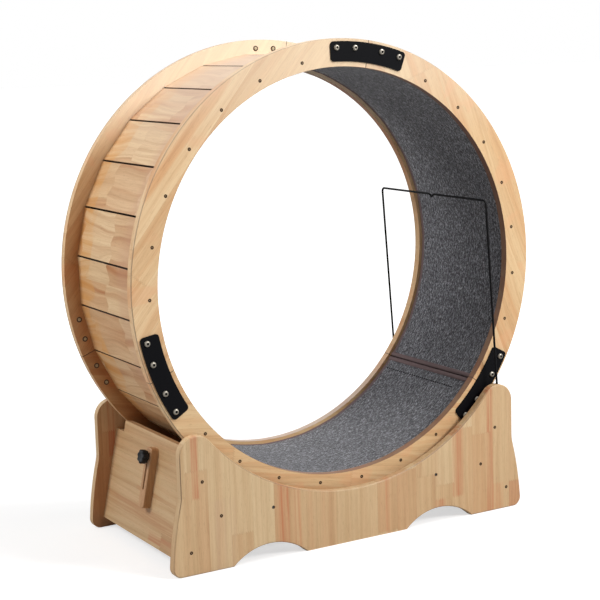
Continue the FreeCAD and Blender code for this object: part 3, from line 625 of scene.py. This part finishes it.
# plate bolts: button heads with hexagon sockets
boltHead = {"radius": 0.0067, "rise": 0.0042, "socket": 0.0026, "sink": 0.0030, "sides": 24}


# the socket's rows follow a hexagon: flat distance over the cosine of the angle to the nearest flat
def hexRows(turn, radius):
    fold = (turn + np.pi / 6) % (np.pi / 3) - np.pi / 6
    inner = radius < boltHead["socket"] * 1.001
    return np.where(inner, radius / np.cos(fold), radius)


# a low wall, a quarter of an ellipse in to the socket's lip, and the socket's wall and floor
def boltProfile():
    r, h, s = (boltHead[key] for key in ("radius", "rise", "socket"))
    lip, floor = s * 1.35, h - boltHead["sink"]
    dome = [(lip + (r * 0.97 - lip) * math.cos(a), h * 0.24 + h * 0.76 * math.sin(a))
            for a in np.linspace(0, math.pi / 2, 6)]
    return [(0, 0), (r, 0), (r, h * 0.16)] + dome + [(s, h * 0.97), (s * 0.98, floor), (0, floor)]


boltPlaces = onRings(wheel["boltAngles"], wheel["boltCircle"], wheel["ringFace"] + wheel["plateGauge"])
bolts = fasteners("plateBoltHeads", boltProfile(), boltHead["sides"], boltPlaces, "wheel", "bolt", "socket",
                  hexRows)
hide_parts("plate_bolts")

# insert nuts in the rings' inner faces: a thin flange, a sunk ring and the bolt's end
insertNut = {"profile": [(0, 0), (0.0061, 0), (0.0061, 0.0009), (0.0056, 0.0013), (0.0046, 0.0013),
                         (0.0043, 0.0003), (0.0036, 0.0003), (0.0035, 0.0010), (0, 0.0011)],
             "sides": 20}
insertPlaces = onRings(wheel["boltAngles"], wheel["boltCircle"], wheel["trackHalf"], -1)
inserts = fasteners("plateInserts", insertNut["profile"], insertNut["sides"], insertPlaces, "wheel",
                    "insert", "boltEnd")
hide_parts("plate_nuts")

# wood screws, just proud of the wood: a wall up from below it, a rim, a shallow dish, and the wall
# and floor of a cross, which lie inside the radius cross
screwHead = {"profile": [(0, -0.0004), (0.00378, -0.0004), (0.00378, 0.00015), (0.00329, 0.0003),
                         (0.00301, 0.0001), (0.00175, 0.00025), (0.0016, 0.00025),
                         (0.0013, -0.0001), (0, -0.0001)],
             "sides": 16, "cross": 0.0017}


# four lobes of the innermost rows make the cross
def crossRows(turn, radius):
    lobes = 0.62 + 0.38 * np.cos(4 * turn)
    return np.where(radius < screwHead["cross"], radius * lobes, radius)


# seven screws to a ring's board, at the middles of the slats away from its joints
ringScrews = onRings([(number + 0.5) * 360.0 / wheel["slats"] for number in range(1, 8)],
                     wheel["screwCircle"], wheel["ringFace"])
baseScrews = [((hand * x, side * base["face"], z), (0, side, 0))
              for side in (-1, 1) for hand in (-1, 1) for x, z in base["screws"]]
for name, places, body in (("ringScrewHeads", ringScrews, "wheel"),
                           ("baseScrewHeads", baseScrews, "base")):
    fasteners(name, screwHead["profile"], screwHead["sides"], places, body, "screw", "socket",
              crossRows, 30)
print("fasteners:", len(boltPlaces), len(ringScrews), len(baseScrews))


# carpet strip with its tapes: arcRadius is where its length is measured, ease the share of the slats'
# corners lost in its thickness, overlap is in degrees, and wavers are (radians a metre, start, size)
carpet = {"half": 0.1632, "pile": 0.0060, "lift": 0.0002, "roll": 0.0022, "seam": 321.0, "gap": 0.0030,
          "steps": 540, "arcRadius": 0.448, "ease": 0.7}
endTapeForm = {"width": 0.0098, "steps": 16, "ridge": 0.0026, "overlap": 0.02, "inset": 0.0004,
               "over": 0.0006, "roll": 0.0012, "across": 60,
               "wavers": ((47.0, 0.0, 0.0009), (23.0, 1.0, 0.0010))}
sideTape = {"edge": 0.1644, "width": 0.0090, "over": 0.0005, "bend": 0.0006, "low": 0.0004, "wrap": 0.0016}


# degrees round the drum for a length along the carpet
def arcTurn(length):
    return math.degrees(length / carpet["arcRadius"])


# radius of the slats' inner faces at an angle, in radians: the flat's distance over the cosine of
# the angle to its middle; ease rounds the corners off towards the mean
def slatRadius(turn, ease):
    pitch = 2 * np.pi / wheel["slats"]
    fold = (turn - np.radians(wheel["joints"][0])) % pitch - pitch / 2
    sharp = wheel["slatInside"] / np.cos(fold)
    soft = wheel["slatInside"] * (1 + (pitch / 2) ** 2 / 6)
    return sharp * (1 - ease) + soft * ease


# a closed section of (depth y, height over the slats) pairs carried round the drum from one angle to
# another: the radius is the slats' less the height, and less a further height at the section's top
def roundTheDrum(section, start, end, steps, further=0.0):
    turn = np.linspace(math.radians(start), math.radians(end), steps)[:, None]
    y, height = np.array(section, float).T
    share = np.clip(height / carpet["pile"], 0, 1)
    radius = slatRadius(turn, share * carpet["ease"]) - height - further * share
    spread = np.broadcast_to(y, radius.shape)
    points = np.stack([radius * np.cos(turn), spread, wheel["height"] + radius * np.sin(turn)], axis=-1)
    uv = np.stack([np.broadcast_to(turn * carpet["arcRadius"], radius.shape), spread], axis=-1)
    return points, uv


# a rounded strip section: flat below, edges rolled over, top level
def stripSection(half, thick, roll, across=24):
    top = [(y, thick) for y in np.linspace(half - roll, -half + roll, across)[1:-1]]
    rolls = [(half - roll + roll * math.cos(a), thick - roll + roll * math.sin(a))
             for a in np.linspace(0, math.pi / 2, 5)]
    under = [(-half, carpet["lift"]), (half, carpet["lift"])]
    return under + rolls + top + [(-y, h) for y, h in rolls[::-1]]


# closes both ends of a swept section by joining its opposite points in pairs
def closeEnds(points, quads):
    rows, cols = points.shape[:2]
    j = np.arange(1, cols // 2)
    first = np.stack([j - 1, j, cols - 1 - j, (cols - j) % cols], axis=1)
    last = (rows - 1) * cols + first
    return np.concatenate([quads, first, last])


# a section carried round the drum as one piece; a backing goes on its first side, under the pile
def drumPiece(name, section, start, end, material, backing=None):
    points, uv = roundTheDrum(section, start, end, carpet["steps"])
    quads = closeEnds(points, gridQuads(*points.shape[:2], wrapM=True))
    under = None
    if backing:
        number = np.arange(len(quads))
        under = (number % len(section) == 0) & (number < (carpet["steps"] - 1) * len(section))
    return makePiece(name, points, quads, material, "wheel", uv, inner=backing, inside=under)


gapTurn = arcTurn(0.5 * carpet["gap"])
seamStart, seamEnd = carpet["seam"] - 360 + gapTurn, carpet["seam"] - gapTurn
pile = drumPiece("carpetStrip", stripSection(carpet["half"], carpet["pile"], carpet["roll"]), seamStart,
                 seamEnd, finishes["pile"], finishes["backing"])
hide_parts("carpet")


# side tapes fold over the strip's edges: up the side, in over the pile and back under their own cloth
def sideSection(side):
    edge, over, bend, low, wrap = (sideTape[key] for key in ("edge", "over", "bend", "low", "wrap"))
    inner, thick = edge - sideTape["width"], carpet["pile"]
    section = [(edge, low), (edge, thick - low), (edge - bend, thick + over),
               (inner + bend, thick + over), (inner, thick + 0.0001), (inner, thick - over),
               (edge - wrap, thick - over), (edge - wrap, low)]
    return [(side * y, height) for y, height in section]


sideTapes = [drumPiece("edgeTape" + word, sideSection(side), seamStart, seamEnd, finishes["tape"])
             for word, side in (("Front", -1), ("Back", 1))]

# both ends of the strip are bound in tape that stands as a low ridge and wavers a little
tapeTurn, overlap = arcTurn(endTapeForm["width"]), endTapeForm["overlap"]
endSection = stripSection(sideTape["edge"] - endTapeForm["inset"], carpet["pile"] + endTapeForm["over"],
                          endTapeForm["roll"], endTapeForm["across"])


# the ridge is half a sine wave over the tape's width, carried across the drum, and the wavers
# shift it along the carpet
def endTape(name, start, end):
    steps, wavers = endTapeForm["steps"], endTapeForm["wavers"]
    ridge = np.sin(np.pi * np.linspace(0, 1, steps))[:, None]
    points, uv = roundTheDrum(endSection, start, end, steps, endTapeForm["ridge"] * ridge ** 0.6)
    waver = sum(np.sin(uv[..., 1] * rate + first) * size for rate, first, size in wavers)
    points[..., 0] -= waver * ridge * math.sin(math.radians(start))
    points[..., 2] += waver * ridge * math.cos(math.radians(start))
    quads = closeEnds(points, gridQuads(*points.shape[:2], wrapM=True))
    return makePiece(name, points, quads, finishes["tape"], "wheel", uv[..., ::-1])


endTapes = [endTape("endTapeUpper", seamStart - overlap, seamStart + tapeTurn),
            endTape("endTapeLower", seamEnd - tapeTurn, seamEnd + overlap)]

# a line of stitches runs across the lower end, a little below the seam; profile holds shares of a
# stitch's thickness and length
stitches = {"below": 0.033, "length": 0.0064, "pitch": 0.0088, "thick": 0.0015, "front": -0.118,
            "back": 0.148, "sides": 8,
            "profile": [(0, -0.5), (0.62, -0.42), (1.0, -0.2), (1.0, 0.2), (0.62, 0.42), (0, 0.5)]}
stitchTurn = carpet["seam"] - arcTurn(stitches["below"])
stitchProfile = [(r * stitches["thick"], h * stitches["length"]) for r, h in stitches["profile"]]
stitchRadius = float(slatRadius(np.radians(stitchTurn), carpet["ease"])) - carpet["pile"]
stitchPlaces = [(onWheel(stitchTurn, stitchRadius, y), (0.0, 1.0, 0.0))
                for y in np.arange(stitches["front"], stitches["back"], stitches["pitch"])]
points, quads = turnedCopies(stitchProfile, stitches["sides"], stitchPlaces)
threadLine = makePiece("seamStitches", points, quads, finishes["thread"], "wheel", smoothBelow=80)

print("carpet:", len(pile.data.polygons), "faces")

# wire bail: a round section carried along straight legs, bends and a small dip
bail = {"radius": 0.0025, "reach": 0.3904, "mouth": 0.2944, "lean": 3.66, "rise": 0.4245, "sink": 0.055,
        "leg": 0.2095, "dip": 0.006, "dipHalf": 0.009, "bends": (0.009, 0.006, 0.004, 0.006, 0.009),
        "sides": 16}


# corners are replaced by arcs of their own radius, whose middles lie inwards from the corner by the
# radius over the cosine of half the turn
def softPath(corners, radii, steps=10):
    path = [corners[0]]
    for before, corner, after, radius in zip(corners, corners[1:], corners[2:], radii):
        into = (corner - before) / np.linalg.norm(corner - before)
        out = (after - corner) / np.linalg.norm(after - corner)
        turn = math.acos(float(np.clip(into @ out, -1, 1)))
        inward = (out - into) / np.linalg.norm(out - into)
        middle = corner + inward * (radius / math.cos(turn / 2))
        sweep = np.linspace(-turn / 2, turn / 2, steps)
        across = (into + out) / np.linalg.norm(into + out)
        path += [middle - inward * radius * math.cos(a) + across * radius * math.sin(a) for a in sweep]
    return np.array(path + [corners[-1]])


# the wire's middle line: flat corners from foot to foot, leant back about the mouths of its holes
def bailCentre():
    top, leg, foot, dipHalf = bail["rise"], bail["leg"], -bail["sink"], bail["dipHalf"]
    corners = np.array([(-leg, foot), (-leg, top), (-dipHalf, top), (0, top - bail["dip"]),
                        (dipHalf, top), (leg, top), (leg, foot)], float)
    flat = softPath(list(corners), bail["bends"])
    lean = math.radians(bail["lean"])
    return np.stack([bail["reach"] - flat[:, 1] * math.sin(lean), flat[:, 0],
                     bail["mouth"] + flat[:, 1] * math.cos(lean)], axis=1)


# a circle in the plane across the path at each point; the bail's plane gives the second direction
def tube(path, radius, sides, side):
    ahead = np.gradient(path, axis=0)
    ahead /= np.linalg.norm(ahead, axis=1)[:, None]
    across = np.cross(ahead, side)
    across /= np.linalg.norm(across, axis=1)[:, None]
    turn = np.linspace(0, 2 * np.pi, sides, endpoint=False)[:, None]
    ring = across[:, None, :] * np.cos(turn) + np.array(side) * np.sin(turn)
    body = path[:, None, :] + ring * radius
    tips = np.stack([np.repeat(path[:1], sides, axis=0), np.repeat(path[-1:], sides, axis=0)])
    return np.concatenate([tips[:1], body, tips[1:]])


leanTurn = math.radians(bail["lean"])
points = tube(bailCentre(), bail["radius"], bail["sides"], (math.cos(leanTurn), 0.0, math.sin(leanTurn)))
bailPiece = makePiece("teaserBail", points, gridQuads(*points.shape[:2], wrapM=True), finishes["wire"],
                      "bail", smoothBelow=60)
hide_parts("teaser_bail")

# the left end board's frame, which the brake's parts sit in: a point of its middle plane on the
# brake's line, and its lean in degrees
endFrame = {"place": (-0.3763, -0.010, 0.1963), "lean": 12.13}
tilt = math.radians(endFrame["lean"])
outward = np.array([-math.cos(tilt), 0.0, math.sin(tilt)])
sideways = np.array([0.0, 1.0, 0.0])
upward = np.array([math.sin(tilt), 0.0, math.cos(tilt)])


# points from their distances out of the end board, over it and up it
def onEndBoard(out, over, up):
    out, over, up = (np.asarray(part, float)[..., None] for part in (out, over, up))
    return np.array(endFrame["place"]) + out * outward + over * sideways + up * upward


# star knob: lobes from a raised cosine round the axis, edges rolled over and a dished face
knob = {"above": 0.006, "seat": 0.0274, "hub": 0.0085, "hubRise": 0.004, "star": 0.0155, "rise": 0.014,
        "depth": 0.0034, "lobes": 7, "roll": 0.0022, "under": 0.0015, "bend": 0.0004, "bore": 0.0032,
        "dish": 0.0006, "dishRim": 0.0085, "dishFloor": 0.0076, "middle": 0.0005, "sides": 84}


# the star's radius dips between lobes, by a share that grows from the hub out to the star's edge
def lobedRows(turn, radius):
    dip = (0.5 + 0.5 * np.cos(knob["lobes"] * turn)) ** 1.7
    share = np.clip((radius - knob["hub"]) / (knob["star"] - knob["hub"]), 0, 1)
    return radius - knob["depth"] * dip * share


# hub, the star's softened lower edge, a quarter circle over its upper edge, and the dish
def knobProfile():
    seat, hub, bore, star, roll, under, bend = (
        knob[key] for key in ("seat", "hub", "bore", "star", "roll", "under", "bend"))
    low = seat + knob["hubRise"]
    top = low + knob["rise"]
    floor = top - knob["dish"]
    rolled = [(star - roll + roll * math.cos(a), top - roll + roll * math.sin(a))
              for a in np.linspace(0, math.pi / 2, 6)]
    lower = [(star - under, low), (star - bend, low + bend), (star, low + under)]
    dished = [(knob["dishRim"], top), (knob["dishFloor"], floor), (bore, floor),
              (0, top - knob["middle"])]
    return [(bore, seat), (hub, seat), (hub, low)] + lower + rolled + dished


knobPlace = (onEndBoard(0.0, 0.0, knob["above"]), outward)
points, quads = turnedCopies(knobProfile(), knob["sides"], [knobPlace], lobedRows)
knobPiece = makePiece("starKnob", points, quads, finishes["knob"], "knob", smoothBelow=50)
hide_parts("brake_knob")

# brake block: the slotted board with rounded corners and a rolled front edge
block = {"back": 0.0091, "front": 0.0271, "half": 0.0135, "top": 0.027, "foot": -0.106, "corner": 0.008,
         "edge": 0.0026, "slotHalf": 0.0033, "slotTop": 0.0061, "slotFoot": -0.0636, "slotEdge": 0.0005,
         "margin": 0.0004}


# a closed outline of four quarter turns about centres at plus and minus across, foot and top; a
# short straight stretch beside each turn keeps the shading of the flats even
def fourTurns(across, foot, top, radius, stretch):
    turn = np.linspace(0, math.pi / 2, 9)
    x = np.concatenate([[radius], radius * np.cos(turn), [-stretch]])
    z = np.concatenate([[-block["margin"]], radius * np.sin(turn), [radius]])
    return np.stack([np.concatenate([across + x, -across - x[::-1], -across - x, across + x[::-1]]),
                     np.concatenate([top + z, top + z[::-1], foot - z, foot - z[::-1]])], axis=1)


# the slot's outline, two half circles joined by straights, and the block's, set in by an inset
def slotOutline(grow):
    return fourTurns(0.0, block["slotFoot"], block["slotTop"], block["slotHalf"] + grow, 0.0)


def blockOutline(inset):
    corner = block["corner"]
    return fourTurns(block["half"] - corner, block["foot"] + corner, block["top"] - corner, corner - inset,
                     block["margin"])


# (outline, distance out of the board) rows: the slot's wall, the front, the rolled edge, the sides
def blockRows():
    back, front, edge = block["back"], block["front"], block["edge"]
    soft, margin = block["slotEdge"], block["margin"]
    rolled = [(blockOutline(edge - edge * math.sin(a)), front - edge + edge * math.cos(a))
              for a in np.linspace(0, math.pi / 2, 6)]
    return ([(slotOutline(0.0), back), (slotOutline(0.0), front - soft), (slotOutline(soft), front),
             (blockOutline(edge + margin), front)] + rolled
            + [(blockOutline(0.0), front - edge - margin), (blockOutline(0.0), back)])


outlines, depths = zip(*blockRows())
outlines = np.array(outlines)
points = onEndBoard(np.array(depths)[:, None], outlines[..., 0], outlines[..., 1])
blockPiece = makePiece("brakeBlock", points, gridQuads(*points.shape[:2], wrapN=True, wrapM=True),
                       woods["stopper"], "stopper", smoothBelow=35)
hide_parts("brake_stopper")
print("bail, knob and brake block")

# camera, lamps and floor
view = {"yaw": 30.270, "pitch": 9.647, "roll": -1.701, "reach": 3.5983, "aim": (-0.003008, 0.0, 0.505986),
        "lens": 95.571, "sensor": 36.0}


# looks level ahead at yaw, dips by pitch and rolls about its own line
def placeCamera():
    yaw, pitch, roll = (math.radians(view[key]) for key in ("yaw", "pitch", "roll"))
    ahead = Vector((math.sin(yaw) * math.cos(pitch), math.cos(yaw) * math.cos(pitch), -math.sin(pitch)))
    right = Vector((math.cos(yaw), -math.sin(yaw), 0.0))
    up = right.cross(ahead)
    right, up = right * math.cos(roll) + up * math.sin(roll), up * math.cos(roll) - right * math.sin(roll)
    turned = Matrix((right, up, -ahead)).transposed().to_4x4()
    lens = bpy.data.cameras.new("camera")
    lens.lens, lens.sensor_width, lens.sensor_fit = view["lens"], view["sensor"], "HORIZONTAL"
    camera = bpy.data.objects.new("camera", lens)
    camera.matrix_world = Matrix.Translation(Vector(view["aim"]) - ahead * view["reach"]) @ turned
    scene.collection.objects.link(camera)
    scene.camera = camera


placeCamera()

# soft round lamps, all turned to one point: place, width in metres and power in watts
lampAim = (0.0, 0.0, 0.6)
lamps = {"keyLamp": ((2.4, -3.4, 2.9), 1.3, 150.0),
         "leftLamp": ((-3.2, 0.9, 2.8), 1.6, 86.0),
         "topLamp": ((1.3, -1.6, 4.0), 1.6, 68.0)}
for name, (place, width, power) in lamps.items():
    lamp = bpy.data.lights.new(name, "AREA")
    lamp.shape, lamp.size, lamp.energy = "DISK", width, power
    holder = bpy.data.objects.new(name, lamp)
    turned = (Vector(lampAim) - Vector(place)).to_track_quat("-Z", "Y").to_matrix().to_4x4()
    holder.matrix_world = Matrix.Translation(place) @ turned
    scene.collection.objects.link(holder)

# the world is white to the camera and to gloss, and a softer level of white as light
worldLevel = 0.22
sky = Paint("softWhite", bpy.data.worlds, "Background")
byCamera, byGloss = (sky.add("ShaderNodeLightPath", output=ray)
                     for ray in ("Is Camera Ray", "Is Glossy Ray"))
level = sky.add("ShaderNodeMapRange", None, {"Value": byCamera.maths("MAXIMUM", byCamera, byGloss),
                                             "To Min": worldLevel, "To Max": 1.0})
scene.world = sky.finish(Color=(1.0, 1.0, 1.0, 1.0), Strength=level)

# glow is how white the floor shows near the object and how much is added farther out, and white the
# distances between which it is added
ground = {"reach": 30.0, "grey": 0.5, "rough": 0.9, "glow": (0.62, 0.38), "white": (0.7, 2.2)}


# a wide pale floor that lifts to white where nothing shades it
def layFloor():
    mesh = bpy.data.meshes.new("floor")
    reach, grey, (near, further) = ground["reach"], ground["grey"], ground["glow"]
    mesh.from_pydata([(-reach, -reach, 0), (reach, -reach, 0), (reach, reach, 0), (-reach, reach, 0)], [],
                     [(0, 1, 2, 3)])
    paint = Paint("floorWhite")
    x, y, _ = paint.place()
    away = ((x * x + y * y) ** 0.5).rise(*ground["white"])
    seen = paint.add("ShaderNodeLightPath", output="Is Camera Ray")
    glow = paint.blend(seen * (away * further + near), (0.0, 0.0, 0.0, 1.0), (1.0, 1.0, 1.0, 1.0))
    paint.finish(Base_Color=(grey, grey, grey, 1.0), Roughness=ground["rough"], Emission_Color=glow,
                 Emission_Strength=1.0)
    mesh.materials.append(paint.material)
    floor = bpy.data.objects.new("floor", mesh)
    scene.collection.objects.link(floor)


layFloor()
scene.view_settings.view_transform = "Standard"
print("stage set")
